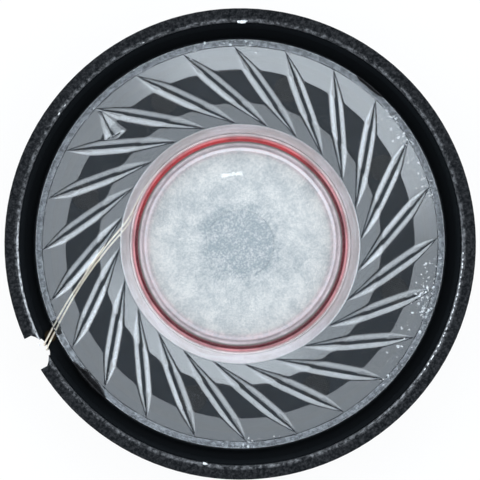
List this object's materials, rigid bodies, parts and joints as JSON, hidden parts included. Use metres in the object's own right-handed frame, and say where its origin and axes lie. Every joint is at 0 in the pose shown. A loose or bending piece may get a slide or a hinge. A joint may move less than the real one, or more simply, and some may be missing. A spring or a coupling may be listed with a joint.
{
  "type": "miniature loudspeaker",
  "caption": "Round miniature moving-coil loudspeaker with a clear ribbed film diaphragm in a black plastic basket, fed by fine wires through a notch in its rim.",
  "frame": {"origin": "on the speaker's axis, at the rear face of the magnet cup on which it rests", "axes": "+Z along the axis towards the diaphragm and the listener; -X towards the lead notch and the terminal board"},
  "size_m": [0.028, 0.028, 0.0052],
  "materials": {
    "basket": "black moulded plastic, rough on the rim's front and glossy in the sunken ring",
    "cup_steel": "zinc-plated deep-drawn steel",
    "plate_steel": "zinc-plated stamped steel, finely speckled",
    "magnet": "nickel-plated sintered magnet",
    "film": "clear glossy polyester film",
    "coil_wire": "red enamelled copper winding",
    "lead_wire": "clear enamelled copper wire",
    "clear_adhesive": "clear cured adhesive",
    "amber_adhesive": "amber cured adhesive",
    "dark_adhesive": "black cured adhesive, glossy",
    "board": "brown phenolic paper board",
    "pad_metal": "tinned copper foil",
    "solder": "bright solder",
    "cloth": "thin black damping cloth"
  },
  "bodies": {
    "chassis": {"frame": "basket", "magnet_cup": "cup_steel", "cup_bond": "dark_adhesive", "magnet_bond": "clear_adhesive", "magnet": "magnet", "plate_bond": "clear_adhesive", "pole_plate": "plate_steel", "film_bond": "dark_adhesive", "diaphragm_surround": "film", "positive_lead": "lead_wire", "negative_lead": "lead_wire", "lead_bond": "amber_adhesive", "terminal_board": "board", "positive_pad": "pad_metal", "negative_pad": "pad_metal", "positive_solder": "solder", "negative_solder": "solder", "vent_cloth": "cloth"},
    "moving_coil": {"diaphragm_dome": "film", "coil_bond": "clear_adhesive", "voice_coil": "coil_wire"}
  },
  "joints": [
    {"name": "cone_travel", "type": "slide", "parent": "chassis", "child": "moving_coil", "axis": [0, 0, 1], "range_m": [-0.0004, 0.0004], "stiffness_N_per_m": 500, "deforming": ["diaphragm_surround", "positive_lead", "negative_lead"]}
  ]
}
